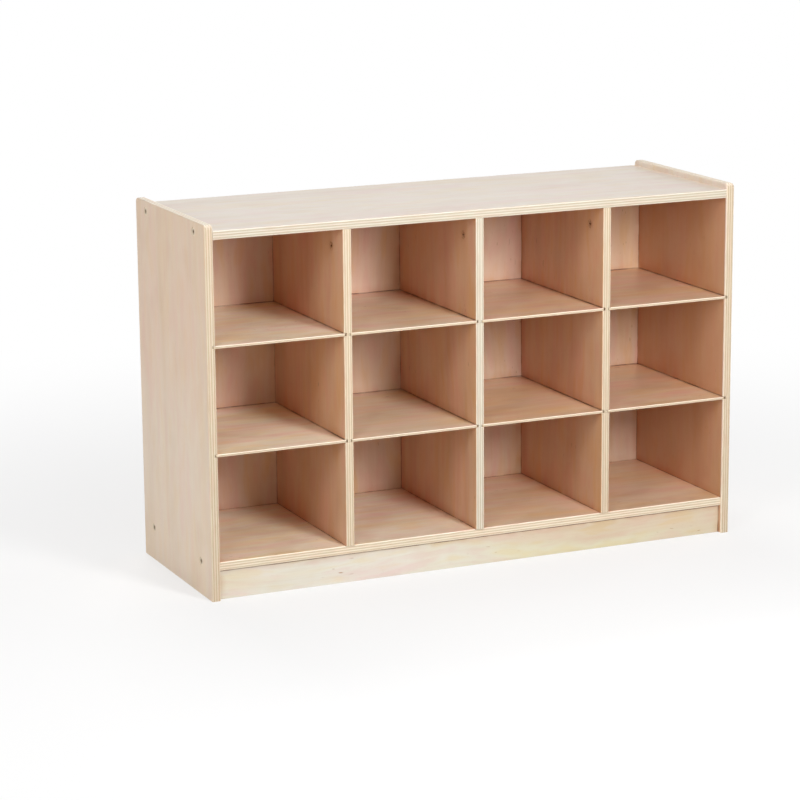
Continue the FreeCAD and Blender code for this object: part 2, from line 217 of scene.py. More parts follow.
# Fasteners
side_bolt_inset = 50.0 * MM
side_bolt_length = 57.7 * MM
bolt_diameter = 6.0 * MM
bolt_pitch = 1.0 * MM
bolt_thread_depth = 0.5 * MM
bolt_tip = 0.6 * MM
bolt_head_radius = 7.0 * MM
bolt_head_thickness = 2.6 * MM
bolt_rim = 0.35 * MM
bolt_rim_break = 0.6 * bolt_rim
bolt_socket_flats = 5.0 * MM
bolt_socket_depth = 2.2 * MM
divider_fastener_inset = 49.0 * MM
screw_diameter = 6.4 * MM
screw_pitch = 2.8 * MM
screw_thread_depth = 1.0 * MM
screw_tip_length = 5.0 * MM
screw_tip_depth = 2.1 * MM
screw_length = 50.0 * MM
screw_head_radius = 5.0 * MM
screw_head_rim = 0.8 * MM
screw_head_depth = 4.0 * MM
screw_socket_flats = 4.0 * MM
screw_socket_depth = 3.0 * MM
cam_bolt_pitch = 2.2 * MM
cam_bolt_thread_depth = 0.8 * MM
cam_bolt_tip_length = 3.0 * MM
cam_bolt_tip_depth = 1.5 * MM
cam_bolt_bite = 11.0 * MM
cam_bolt_reach = 35.6 * MM
cam_bolt_collar_radius = 4.0 * MM
cam_bolt_collar_thickness = 1.6 * MM
cam_bolt_neck_radius = 1.7 * MM
cam_bolt_neck_length = 6.5 * MM
cam_bolt_head_radius = 3.2 * MM
cam_bolt_head_length = 3.2 * MM
cam_bolt_bevel = 0.8 * MM
kick_board_cam_spread = 300.0 * MM
cam_face_margin = 5.0 * MM
cam_recess_start = 0.2 * MM
cam_recess_full = 0.9 * MM
dowel_diameter = 8.0 * MM
dowel_length = 30.0 * MM
dowel_bite = 10.0 * MM
dowel_chamfer = 1.0 * MM
dowel_flutes = 16
dowel_flute_depth = 0.4 * MM
corner_dowel_spread = 60.0 * MM
turned_sides = 48
thread_sides = 20
segments_per_turn = 4.0
crease_angle = math.radians(35)

# Studio
floor_colour = (0.86, 0.86, 0.86)
floor_colour_dull = (0.8342, 0.8342, 0.8342)
floor_half_size = 30.0
floor_roughness = 0.8
shadow_radius = 0.55
backdrop_radius = 1.9
shadow_glow = 0.62
world_light = 0.09

# Lamps: name, degrees from the front towards +X, degrees up, watts, size, distance, seen in gloss
lamps = (
    ("key", 7.5, 24, 37.5, (0.45, 0.75), 2.2, True),
    ("front", 0, 18, 7.5, (1.6, 1.6), 3.0, True),
    ("high_front", -20, 55, 4.5, (1.2, 1.2), 3.0, True),
    ("upper_left", -45, 35, 17.0, (0.7, 0.7), 3.0, True),
    ("low_left", -66, 12, 7.0, (0.35, 0.35), 3.0, True),
    ("left", -79, 8, 6.2, (0.35, 0.35), 3.0, True),
    ("rear_left", -105, 15, 8.0, (1.2, 1.2), 3.0, False),
    ("right", 100, 15, 22.0, (1.2, 1.2), 3.0, False),
    ("behind", 180, 50, 32.0, (1.2, 1.2), 3.0, False),
    ("behind_low", 180, 12, 10.0, (1.2, 1.2), 3.0, False),
)


def set_inputs(node, values):
    """Give a node's inputs their values, or links where the value is another node's socket."""
    for name, value in values.items():
        socket = node.inputs[name]
        if isinstance(value, bpy.types.NodeSocket):
            node.id_data.links.new(value, socket)
        elif socket.type == "RGBA":
            socket.default_value = (*value, 1.0)
        else:
            socket.default_value = value


def add(tree, kind, inputs=None, **settings):
    """One node with its settings and its inputs."""
    node = tree.nodes.new(kind)
    for name, value in settings.items():
        setattr(node, name, value)
    set_inputs(node, inputs or {})
    return node


def calculate(tree, operation, *values, clamp=False):
    inputs = dict(enumerate(values))
    return add(tree, "ShaderNodeMath", inputs, operation=operation, use_clamp=clamp).outputs[0]


def vector_node(tree, operation, first, second=None):
    node = add(tree, "ShaderNodeVectorMath", {0: first}, operation=operation)
    if second is not None:
        set_inputs(node, {"Scale" if operation == "SCALE" else 1: second})
    return node.outputs["Value" if operation in ("DOT_PRODUCT", "LENGTH") else "Vector"]


def split(tree, vector):
    """X, Y and Z of a vector."""
    return add(tree, "ShaderNodeSeparateXYZ", {0: vector}).outputs


def combine(tree, parts):
    return add(tree, "ShaderNodeCombineXYZ", parts).outputs[0]


def mix_colour(tree, factor, first, second, blend="MIX"):
    inputs = {0: factor, 6: first, 7: second}
    return add(tree, "ShaderNodeMix", inputs, data_type="RGBA", blend_type=blend).outputs[2]


def mix_value(tree, factor, first, second):
    inputs = {0: factor, 2: first, 3: second}
    return add(tree, "ShaderNodeMix", inputs, data_type="FLOAT").outputs[0]


def remap(tree, value, low, high, to_low=0.0, to_high=1.0):
    """value between low and high becomes to_low to to_high, eased at both ends."""
    ends = {"From Min": low, "From Max": high, "To Min": to_low, "To Max": to_high}
    inputs = {"Value": value, **ends}
    return add(tree, "ShaderNodeMapRange", inputs, interpolation_type="SMOOTHSTEP").outputs[0]


def noise(tree, vector, scale, detail=2.0, roughness=0.5):
    inputs = {"Vector": vector, "Scale": scale, "Detail": detail, "Roughness": roughness}
    return add(tree, "ShaderNodeTexNoise", inputs).outputs["Fac"]


def wood_pattern(tree, name, board_position):
    scales, detail, roughness = patterns[name]
    stretched = vector_node(tree, "MULTIPLY", board_position, scales)
    return noise(tree, stretched, 1.0, detail, roughness)


def bumped(tree, height, strength, distance):
    inputs = {"Strength": strength, "Distance": distance, "Height": height}
    return add(tree, "ShaderNodeBump", inputs).outputs["Normal"]


def object_position(tree):
    return tree.nodes.new("ShaderNodeTexCoord").outputs["Object"]


def new_group(name, inputs, outputs, kind="ShaderNodeTree"):
    """Node group with a kind of socket for each named input and output."""
    tree = bpy.data.node_groups.new(name, kind)
    for way, sockets in (("INPUT", inputs), ("OUTPUT", outputs)):
        for label, socket in sockets.items():
            tree.interface.new_socket(label, in_out=way, socket_type="NodeSocket" + socket)
    return tree, tree.nodes.new("NodeGroupInput").outputs, tree.nodes.new("NodeGroupOutput")


def birch_figure_group():
    """Rotary-cut birch veneer: broad bands, hue drift, stripes, streaks, pores and rare flecks."""
    tree, given, result = new_group(
        "birch_figure",
        {
            "Board Position": "Vector",
            "Sheet": "Float",
            "Face": "Color",
            "Far Face": "Color",
            "Reverse": "Color",
            "Drift": "Vector",
            "Band Strength": "Float",
            "Hue Strength": "Float",
            "Streak Strength": "Float",
            "Blotch Strength": "Float",
            "Fleck Strength": "Float",
        },
        {"Color": "Color", "Height": "Float", "Gloss Loss": "Float"},
    )
    board = given["Board Position"]
    place = vector_node(tree, "ADD", board, vector_node(tree, "SCALE", sheet_shift, given["Sheet"]))
    wander = calculate(tree, "MULTIPLY", wood_pattern(tree, "wander", place), grain_sway)
    swayed = vector_node(tree, "ADD", place, combine(tree, {"Y": wander}))
    bands, hue, fine_hue, stripes, streaks, pores = (
        wood_pattern(tree, name, swayed)
        for name in ("bands", "hue", "fine_hue", "stripes", "streaks", "pores")
    )
    clouds, flecks, fleck_zones = (
        wood_pattern(tree, name, place) for name in ("clouds", "flecks", "fleck_zones")
    )

    along = vector_node(tree, "DOT_PRODUCT", board, given["Drift"])
    far = remap(tree, calculate(tree, "MULTIPLY_ADD", clouds, 0.8, along), 0.0, 0.8)
    face = mix_colour(tree, far, given["Face"], given["Far Face"])
    on_face = calculate(tree, "GREATER_THAN", split(tree, place)["Z"], 0.0)
    colour = mix_colour(tree, on_face, given["Reverse"], face)
    for pattern, low, high, strength, tint in (
        (bands, 0.42, 0.72, "Band Strength", shade_tint),
        (hue, 0.50, 0.64, "Hue Strength", rose_tint),
        (hue, 0.50, 0.36, "Hue Strength", tan_tint),
        (fine_hue, 0.50, 0.66, "Hue Strength", rose_tint),
        (fine_hue, 0.50, 0.34, "Hue Strength", tan_tint),
        (clouds, 0.48, 0.68, "Blotch Strength", rose_tint),
        (clouds, 0.50, 0.32, "Blotch Strength", shade_tint),
        (stripes, 0.45, 0.75, "Streak Strength", shade_tint),
        (streaks, 0.50, 0.78, "Streak Strength", shade_tint),
    ):
        mask = calculate(tree, "MULTIPLY", remap(tree, pattern, low, high), given[strength])
        colour = mix_colour(tree, mask, colour, tint, "MULTIPLY")
    pore_mask = calculate(tree, "MULTIPLY", remap(tree, pores, 0.66, 0.76), pore_strength)
    colour = mix_colour(tree, pore_mask, colour, fleck_brown)
    rare = remap(tree, fleck_zones, 0.55, 0.65)
    fleck_mask = calculate(tree, "MULTIPLY", remap(tree, flecks, 0.71, 0.77), rare)
    fleck_mask = calculate(tree, "MULTIPLY", fleck_mask, given["Fleck Strength"])
    colour = mix_colour(tree, fleck_mask, colour, fleck_brown)

    ridges = calculate(tree, "MULTIPLY", streaks, streak_relief)
    pits = calculate(tree, "MULTIPLY", pore_mask, pore_relief)
    height = calculate(tree, "SUBTRACT", ridges, pits)
    set_inputs(result, {"Color": colour, "Height": height, "Gloss Loss": streaks})
    return tree


def joint_shade_group():
    """Painted shade along the boards' joints: a dark line, a faint darkening and a warm darker tone
    deep in the corners.
    """
    tree, given, result = new_group(
        "joint_shade",
        {
            "Position": "Vector",
            "Normal": "Vector",
            "Space Middle": "Vector",
            "Space Half Size": "Vector",
            "Column Start": "Float",
            "Column Pitch": "Float",
            "Column Width": "Float",
            "Floor Levels": "Vector",
            "Ceiling": "Float",
            "Rear": "Float",
            "Line Width": "Float",
            "Seam Shade Width": "Float",
            "Corner Shade Width": "Float",
        },
        {"Line": "Float", "Seam Shade": "Float", "Corner Shade": "Float", "Inside": "Float"},
    )

    def far_from(value, level):
        return calculate(tree, "ABSOLUTE", calculate(tree, "SUBTRACT", value, level))

    def chain(operation, first, *others):
        for other in others:
            first = calculate(tree, operation, first, other)
        return first

    place = split(tree, given["Position"])
    facing = split(tree, vector_node(tree, "ABSOLUTE", given["Normal"]))
    levels = (*split(tree, given["Floor Levels"]), given["Ceiling"])
    from_start = calculate(tree, "SUBTRACT", place["X"], given["Column Start"])
    across = calculate(tree, "FLOORED_MODULO", from_start, given["Column Pitch"])
    from_rear = far_from(place["Y"], given["Rear"])
    gaps = {
        "X": chain("MINIMUM", across, far_from(across, given["Column Width"])),
        "Y": calculate(tree, "MULTIPLY_ADD", from_rear, rear_joint_narrowing, rear_joint_gap),
        "Z": chain("MINIMUM", *(far_from(place["Z"], level) for level in levels)),
    }
    # A face that looks across a joint gets a metre added, so only faces along it are shaded.
    seen_gaps = (calculate(tree, "ADD", gap, facing[axis]) for axis, gap in gaps.items())
    joint = chain("MINIMUM", *seen_gaps)
    from_middle = vector_node(tree, "SUBTRACT", given["Position"], given["Space Middle"])
    from_middle = vector_node(tree, "ABSOLUTE", from_middle)
    beyond = vector_node(tree, "SUBTRACT", from_middle, given["Space Half Size"])
    inside = calculate(tree, "LESS_THAN", chain("MAXIMUM", *split(tree, beyond)), 0.0)
    uneven = remap(tree, noise(tree, given["Position"], 30.0), 0.35, 0.6, 0.45, 1.0)
    strength = calculate(tree, "MULTIPLY", inside, uneven)
    depth = calculate(tree, "SUBTRACT", given["Rear"], place["Y"])
    deep = remap(tree, depth, corner_shade_start, corner_shade_full)
    beside_back = calculate(tree, "SUBTRACT", 1.0, facing["Y"])
    near = {}
    for name in ("Line", "Seam Shade", "Corner Shade"):
        reach = calculate(tree, "DIVIDE", joint, given[name + " Width"])
        near[name] = calculate(tree, "SUBTRACT", 1.0, reach, clamp=True)
    near["Line"] = remap(tree, near["Line"], 0.0, 0.5)
    near["Corner Shade"] = chain("MULTIPLY", near["Corner Shade"], deep, beside_back)
    shades = {name: calculate(tree, "MULTIPLY", mask, strength) for name, mask in near.items()}
    set_inputs(result, {**shades, "Inside": inside})
    return tree


def ply_layers_group():
    """Layers showing where the board is cut: pale long grain, darker end grain and glue lines."""
    tree, given, result = new_group(
        "ply_layers",
        {
            "Board Position": "Vector",
            "Cut Direction": "Vector",
            "Grain Direction": "Vector",
            "Across Direction": "Vector",
            "Thickness": "Float",
            "Layers": "Float",
            "Edge Tint": "Color",
        },
        {"Color": "Color", "Height": "Float", "Cut": "Float"},
    )
    wave, patches, fibre, dots = (
        wood_pattern(tree, name, given["Board Position"])
        for name in ("ply_wave", "ply_patches", "ply_fibre", "ply_dots")
    )
    from_core = split(tree, given["Board Position"])["Z"]
    half = calculate(tree, "MULTIPLY", given["Thickness"], 0.5)
    wave = calculate(tree, "MULTIPLY", calculate(tree, "SUBTRACT", wave, 0.5), ply_wave_height)
    depth = calculate(tree, "ADD", calculate(tree, "ADD", from_core, half), wave)
    step = calculate(tree, "DIVIDE", given["Thickness"], given["Layers"])
    layer = calculate(tree, "DIVIDE", depth, step)
    cross_layer = calculate(tree, "MODULO", calculate(tree, "FLOOR", layer), 2.0)
    from_middle = calculate(tree, "SUBTRACT", calculate(tree, "FRACT", layer), 0.5)
    from_middle = calculate(tree, "ABSOLUTE", from_middle)
    broken = remap(tree, patches, 0.38, 0.58, 0.15, 1.0)
    line = calculate(tree, "MULTIPLY", remap(tree, from_middle, 0.40, 0.49), broken)

    def facing(way):
        """How far the cut looks along a way, either end of it."""
        return calculate(
            tree, "ABSOLUTE", vector_node(tree, "DOT_PRODUCT", given["Cut Direction"], way)
        )

    along, across = given["Grain Direction"], given["Across Direction"]
    end_grain = mix_value(tree, cross_layer, facing(along), facing(across))
    end_grain = remap(tree, end_grain, 0.25, 0.85)
    streaky = remap(tree, fibre, 0.4, 0.75, 0.0, 0.5)
    dotted = remap(tree, dots, 0.5, 0.75, 0.0, 0.4)
    long_tone = mix_colour(tree, streaky, long_grain_edge, edge_streak)
    end_tone = mix_colour(tree, dotted, end_grain_edge, glue_line)
    colour = mix_colour(tree, end_grain, long_tone, end_tone)
    glued = calculate(tree, "MULTIPLY", line, glue_line_strength)
    colour = mix_colour(tree, glued, colour, glue_line)
    rose = remap(tree, patches, 0.52, 0.40)
    colour = mix_colour(tree, rose, colour, edge_rose_tint, "MULTIPLY")
    # Painted highlight: cuts that face up, such as the sides' top edges, are made lighter.
    upward = remap(tree, split(tree, given["Cut Direction"])["Z"], 0.3, 0.8)
    tint = mix_colour(tree, upward, given["Edge Tint"], crown_highlight_tint)
    colour = mix_colour(tree, 1.0, colour, tint, "MULTIPLY")

    on_face = remap(tree, facing(vector_node(tree, "CROSS_PRODUCT", along, across)), 0.62, 0.9)
    under_face = calculate(tree, "SUBTRACT", half, calculate(tree, "ABSOLUTE", from_core))
    under_face = remap(tree, under_face, 0.9 * MM, 1.3 * MM)
    off_face = calculate(tree, "SUBTRACT", 1.0, on_face)
    cut = calculate(tree, "MAXIMUM", off_face, under_face, clamp=True)
    ridges = calculate(tree, "MULTIPLY", fibre, fibre_relief)
    furrows = calculate(tree, "MULTIPLY", line, glue_line_relief)
    height = calculate(tree, "SUBTRACT", ridges, furrows)
    set_inputs(result, {"Color": colour, "Height": height, "Cut": cut})
    return tree


def lacquer_group():
    """Roughness of a thin satin lacquer, a little uneven, and duller on cut edges."""
    tree, given, result = new_group(
        "satin_lacquer",
        {"Position": "Vector", "Roughness": "Float", "Gloss Loss": "Float", "Cut": "Float"},
        {"Roughness": "Float"},
    )
    uneven = remap(tree, noise(tree, given["Position"], 14.0, 3.0), 0.3, 0.7, -0.04, 0.05)
    rough = calculate(tree, "ADD", given["Roughness"], uneven)
    rough = calculate(tree, "MULTIPLY_ADD", given["Gloss Loss"], gloss_lost_in_streaks, rough)
    rough = calculate(tree, "MULTIPLY_ADD", given["Cut"], gloss_lost_on_cuts, rough, clamp=True)
    set_inputs(result, {"Roughness": rough})
    return tree


def metal_wear_and_shade_group():
    """Fine tool marks and a mottled tone for plated and cast metal, with painted shade in its
    recesses.
    """
    tree, given, result = new_group(
        "metal_wear_and_shade",
        {
            "Position": "Vector",
            "Clean": "Color",
            "Dull": "Color",
            "Grit Scale": "Float",
            "Roughness": "Float",
            "Recess": "Float",
            "Recess Shade Tone": "Color",
        },
        {"Color": "Color", "Roughness": "Float", "Height": "Float"},
    )
    cloud = noise(tree, given["Position"], 260.0, 3.0)
    grit = noise(tree, given["Position"], given["Grit Scale"])
    colour = mix_colour(tree, remap(tree, cloud, 0.4, 0.7), given["Clean"], given["Dull"])
    colour = mix_colour(tree, given["Recess"], colour, given["Recess Shade Tone"])
    uneven = remap(tree, grit, 0.3, 0.7, -0.06, 0.1)
    rough = calculate(tree, "ADD", given["Roughness"], uneven, clamp=True)
    set_inputs(result, {"Color": colour, "Roughness": rough, "Height": grit})
    return tree


groups = {
    "figure": birch_figure_group(),
    "layers": ply_layers_group(),
    "joints": joint_shade_group(),
    "lacquer": lacquer_group(),
    "metal": metal_wear_and_shade_group(),
}


def low_corner(node):
    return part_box(node)[0]


def high_corner(node):
    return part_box(node)[1]


def middle(node):
    return (low_corner(node) + high_corner(node)) / 2


def space(low, high):
    return {"Space Middle": (low + high) / 2, "Space Half Size": (high - low) / 2}


column_start = low_corner("bottom_panel").x
compartment_floor = high_corner("bottom_panel").z
compartment_ceiling = low_corner("top_panel").z
compartment_rear = low_corner("back_panel").y
compartments_low = Vector(
    (column_start - MM, low_corner("bottom_panel").y, compartment_floor - MM)
)
compartments_high = Vector((MM - column_start, compartment_rear + MM, compartment_ceiling + MM))
compartments = {
    **space(compartments_low, compartments_high),
    "Column Start": column_start,
    "Column Pitch": high_corner("divider_left").x - column_start,
    "Column Width": low_corner("divider_left").x - column_start,
    "Floor Levels": (
        compartment_floor,
        high_corner("lower_shelf_1").z + shelf_play,
        high_corner("upper_shelf_1").z + shelf_play,
    ),
    "Ceiling": compartment_ceiling,
    "Rear": compartment_rear,
    "Line Width": shade_line_width,
    "Seam Shade Width": seam_shade_width,
    "Corner Shade Width": corner_shade_width,
}


def joint_places(node):
    """Where boards meet this one: a side down to the floor, a kick board at its ends and top."""
    if node.startswith("side"):
        to_floor = Vector((compartments_low.x, compartments_low.y, 0.0))
        return {**compartments, **space(to_floor, compartments_high)}
    if "kick_board" not in node:
        return compartments
    low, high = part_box(node)
    margin = Vector((MM, MM, MM))
    return {
        **compartments,
        **space(low - margin, high + margin),
        "Column Start": low.x,
        "Column Pitch": 2 * (high.x - low.x),
        "Column Width": high.x - low.x,
        "Floor Levels": (high.z, high.z, high.z),
        "Ceiling": high.z,
        "Line Width": kick_board_shade_line_width,
    }


def new_material(name):
    material = bpy.data.materials.new(name)
    material.use_nodes = True
    tree = material.node_tree
    tree.nodes.clear()
    shader = tree.nodes.new("ShaderNodeBsdfPrincipled")
    add(tree, "ShaderNodeOutputMaterial", {"Surface": shader.outputs[0]})
    return material, tree, shader


def placed_group(tree, key, inputs):
    return add(tree, "ShaderNodeGroup", inputs, node_tree=groups[key]).outputs


def board_way(node):
    """The way the board's better face looks."""
    if node == "side_panel_right":
        return X
    if node.startswith(("side", "divider")):
        return -X
    if node == "rear_kick_board":
        return Y
    if node in ("front_kick_board", "back_panel"):
        return -Y
    return Z


def board_veneers(node):
    """Veneer of a board's face, of the face's far end and of its other side."""
    if node.startswith("side"):
        return side_veneer, side_veneer_high, side_veneer_reverse
    if node.startswith("divider"):
        return divider_veneer, divider_veneer, divider_veneer
    if node == "top_panel":
        return top_veneer, top_veneer, top_veneer
    if node == "back_panel":
        return back_veneer, back_veneer_right, back_veneer
    if "kick_board" in node:
        return kick_board_veneer, kick_board_veneer_right, kick_board_veneer
    if node == "bottom_panel":
        return bottom_veneer_left, bottom_veneer_right, bottom_veneer_right
    veneer = shelf_veneers[int(node[-1]) - 1]
    return veneer, veneer, veneer


def sheltered_shade_tint(node):
    """Painted shade: a darker, warmer tint on the faces that the compartments shelter."""
    if node.startswith("side"):
        return sheltered_side_shade
    return sheltered_top_shade if node == "top_panel" else white


def board_figure(node, size, upright):
    """Veneers of a board, the way they drift and how strong the figure is."""
    face, far_face, reverse = board_veneers(node)
    if node == "back_panel":
        drift = (0.0, -2.0 / size.x, 0.0)
    else:
        drift = (2.0 / (size.z if upright else size.x), 0.0, 0.0)
    calm = node.startswith("side") or node == "top_panel"
    even = calm or upright or "kick_board" in node
    return {
        "Face": face,
        "Far Face": far_face,
        "Reverse": reverse,
        "Drift": drift,
        "Blotch Strength": faint_blotches if even else strong_blotches,
        **(calm_figure if calm else lively_figure),
    }


def birch_board(node, seed):
    """Lacquered birch plywood, its grain and layers laid out about the board's middle."""
    low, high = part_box(node)
    size = high - low
    thickness = min(size)
    upright = node.startswith(("side", "divider", "back"))
    grain = Z if upright else X
    across = board_way(node).cross(grain)
    turn = Matrix((grain, across, board_way(node))).transposed()

    material, tree, shader = new_material("birch_" + node)
    coordinates = tree.nodes.new("ShaderNodeTexCoord").outputs
    board_frame = {
        "Vector": coordinates["Object"],
        "Location": (low + high) / 2,
        "Rotation": turn.to_euler(),
    }
    place = add(tree, "ShaderNodeMapping", board_frame, vector_type="TEXTURE").outputs[0]
    figure = board_figure(node, size, upright)
    veneer = placed_group(tree, "figure", {"Board Position": place, "Sheet": seed, **figure})
    edges = placed_group(
        tree,
        "layers",
        {
            "Board Position": place,
            "Cut Direction": coordinates["Normal"],
            "Grain Direction": grain,
            "Across Direction": across,
            "Thickness": thickness,
            "Layers": thin_board_layers if thickness < thin_board else board_layers,
            "Edge Tint": edge_tints.get(node, edge_tint),
        },
    )
    surface = {"Position": coordinates["Object"], "Normal": coordinates["Normal"]}
    joints = placed_group(tree, "joints", {**surface, **joint_places(node)})
    lacquer = placed_group(
        tree,
        "lacquer",
        {
            "Position": coordinates["Object"],
            "Roughness": lacquer_roughness,
            "Gloss Loss": veneer["Gloss Loss"],
            "Cut": edges["Cut"],
        },
    )
    # Painted shade: the faces sheltered inside the compartments take a darker, warmer tint.
    colour = mix_colour(tree, joints["Inside"], veneer["Color"], sheltered_shade_tint(node), "MULTIPLY")
    colour = mix_colour(tree, edges["Cut"], colour, edges["Color"])
    # Painted shade along the joints: a warm darker tone deep in the corners, a faint darkening
    # beside the joints and a dark line along them.
    colour = mix_colour(tree, joints["Corner Shade"], colour, corner_shade_tint, "MULTIPLY")
    colour = mix_colour(tree, joints["Seam Shade"], colour, seam_shade_tint, "MULTIPLY")
    colour = mix_colour(tree, joints["Line"], colour, shade_line_brown)
    height = mix_value(tree, edges["Cut"], veneer["Height"], edges["Height"])
    coat_lost = calculate(tree, "MULTIPLY", edges["Cut"], coat_lost_on_cuts)
    set_inputs(
        shader,
        {
            "Base Color": colour,
            "Roughness": lacquer["Roughness"],
            "Normal": bumped(tree, height, *birch_bump),
            "IOR": lacquer_ior,
            "Coat Weight": calculate(tree, "SUBTRACT", coat_weight, coat_lost),
            "Coat Roughness": coat_roughness,
        },
    )
    return material


def marked_recess(tree):
    """Sockets of the turned heads, by their own mark."""
    return add(tree, "ShaderNodeAttribute", attribute_name="recess").outputs["Fac"]


def recess_in_divider(tree):
    """Sockets of the cams in the dividers, by depth under the dividers' left faces."""
    first_face = low_corner("divider_left").x
    across = split(tree, object_position(tree))["X"]
    depth = calculate(tree, "SUBTRACT", across, first_face)
    last = compartments["Column Pitch"] - cam_face_margin
    depth = calculate(tree, "WRAP", depth, last, -cam_face_margin)
    return remap(tree, depth, cam_recess_start, cam_recess_full)


def metal(name, tones, recess_shade_tone, roughness, grit_scale, recess=marked_recess):
    """Plated or cast metal, with painted shade in its sockets."""
    material, tree, shader = new_material(name)
    clean, dull = tones
    wear = placed_group(
        tree,
        "metal",
        {
            "Position": object_position(tree),
            "Clean": clean,
            "Dull": dull,
            "Grit Scale": grit_scale,
            "Roughness": roughness,
            "Recess": recess(tree),
            "Recess Shade Tone": recess_shade_tone,
        },
    )
    set_inputs(
        shader,
        {
            "Base Color": wear["Color"],
            "Roughness": wear["Roughness"],
            "Metallic": 1.0,
            "Normal": bumped(tree, wear["Height"], *metal_bump),
        },
    )
    return material


def beech():
    """Unfinished turned beech for the dowels."""
    material, tree, shader = new_material("turned_beech")
    position = object_position(tree)
    rays = noise(tree, position, 700.0)
    cloud = noise(tree, position, 120.0)
    colour = mix_colour(tree, remap(tree, cloud, 0.35, 0.7), beech_tone, beech_tone_dark)
    colour = mix_colour(tree, remap(tree, rays, 0.6, 0.72, 0.0, 0.5), colour, beech_ray)
    normal = bumped(tree, rays, *beech_bump)
    set_inputs(shader, {"Base Color": colour, "Roughness": beech_roughness, "Normal": normal})
    return material


def dress(node, material):
    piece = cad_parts[node]
    piece.data.materials.clear()
    piece.data.materials.append(material)


boards = sorted(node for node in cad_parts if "_panel" in node or "_shelf_" in node)
boards += [*dividers, *kick_boards]
for seed, node in enumerate(boards, start=1):
    dress(node, birch_board(node, seed))

plated_steel = metal("plated_steel", plated_tones, socket_recess_shade, plated_roughness, steel_grit)
nut_steel = metal("nut_steel", nut_tones, socket_recess_shade, nut_roughness, steel_grit)
cam_zinc = zinc_tones, cam_recess_shade, zinc_roughness, zinc_grit
turned_beech = beech()
dress("barrel_nuts", nut_steel)
dress("divider_cam_locks", metal("cast_zinc_in_divider", *cam_zinc, recess_in_divider))
dress("kick_board_cam_locks", metal("cast_zinc", *cam_zinc))


def hexagon(flats):
    """Radius of a six-sided socket as a rule of the angle."""
    sixth = math.pi / 3

    def radius(angle):
        return flats / 2 / math.cos((angle + sixth / 2) % sixth - sixth / 2)

    return radius


def turned_form(name, rings, recess_rings=0):
    """Closed form of rings about Z, each a radius or a rule of the angle, and a height."""
    angles = [2 * math.pi * i / turned_sides for i in range(turned_sides)]
    points = []
    for radius, height in rings:
        for angle in angles:
            reach = radius(angle) if callable(radius) else radius
            points.append((reach * math.cos(angle), reach * math.sin(angle), height))
    last = (len(rings) - 1) * turned_sides
    faces = [range(turned_sides), range(last, last + turned_sides)]
    for low in range(0, last, turned_sides):
        high = low + turned_sides
        for i in range(turned_sides):
            j = (i + 1) % turned_sides
            faces.append((low + i, low + j, high + j, high + i))
    mesh = bpy.data.meshes.new(name)
    mesh.from_pydata(points, [], faces)
    recess = mesh.attributes.new("recess", "FLOAT", "POINT").data
    for index in range(recess_rings * turned_sides):
        recess[index].value = 1.0
    form = bmesh.new()
    form.from_mesh(mesh)
    bmesh.ops.recalc_face_normals(form, faces=form.faces)
    form.to_mesh(mesh)
    form.free()
    return bpy.data.objects.new(name, mesh)


def bolt_head():
    socket = hexagon(bolt_socket_flats)
    rings = [
        (socket, bolt_socket_depth),
        (socket, bolt_rim),
        (hexagon(bolt_socket_flats + 2 * bolt_rim), 0.0),
        (bolt_head_radius - 2 * bolt_rim, 0.0),
        (bolt_head_radius - bolt_rim_break, bolt_rim_break),
        (bolt_head_radius, 2 * bolt_rim),
        (bolt_head_radius, bolt_head_thickness),
        (bolt_diameter / 2, bolt_head_thickness),
    ]
    return turned_form("bolt_head", rings, recess_rings=3)


def screw_head():
    socket = hexagon(screw_socket_flats)
    rings = [
        (socket, screw_socket_depth),
        (socket, 0.0),
        (screw_head_radius, 0.0),
        (screw_head_radius, screw_head_rim),
        (screw_diameter / 2, screw_head_depth),
    ]
    return turned_form("screw_head", rings, recess_rings=2)


def cam_bolt_head():
    """Collar on the joint, shank, neck and the head that the cam draws up."""
    shank = bolt_diameter / 2
    neck_end = cam_bolt_reach - cam_bolt_head_length
    neck_start = neck_end - cam_bolt_neck_length
    rings = [
        (shank, 0.0),
        (cam_bolt_collar_radius, 0.0),
        (cam_bolt_collar_radius, -cam_bolt_collar_thickness),
        (shank, -cam_bolt_collar_thickness),
        (shank, cam_bolt_bevel - neck_start),
        (cam_bolt_neck_radius, -neck_start),
        (cam_bolt_neck_radius, -neck_end),
        (cam_bolt_head_radius, -neck_end - cam_bolt_bevel),
        (cam_bolt_head_radius, cam_bolt_bevel - cam_bolt_reach),
        (cam_bolt_head_radius - cam_bolt_bevel, -cam_bolt_reach),
    ]
    return turned_form("cam_bolt_head", rings)


def mesh_position(tree):
    return tree.nodes.new("GeometryNodeInputPosition").outputs["Position"]


def shaped_rod(tree, given, sides, segments, start, drawn_in):
    """Rod along +Z from start, its points drawn in towards the axis by a length each."""
    radius = calculate(tree, "DIVIDE", given["Diameter"], 2.0)
    rod = add(
        tree,
        "GeometryNodeMeshCylinder",
        {"Vertices": sides, "Side Segments": segments, "Radius": radius, "Depth": given["Length"]},
    ).outputs["Mesh"]
    lift = combine(tree, {"Z": calculate(tree, "MULTIPLY_ADD", given["Length"], 0.5, start)})
    rod = add(tree, "GeometryNodeTransform", {"Geometry": rod, "Translation": lift}).outputs[0]
    kept = calculate(tree, "SUBTRACT", 1.0, calculate(tree, "DIVIDE", drawn_in, radius))
    share = combine(tree, {"X": kept, "Y": kept, "Z": 1.0})
    place = vector_node(tree, "MULTIPLY", mesh_position(tree), share)
    return add(tree, "GeometryNodeSetPosition", {"Geometry": rod, "Position": place}).outputs[0]


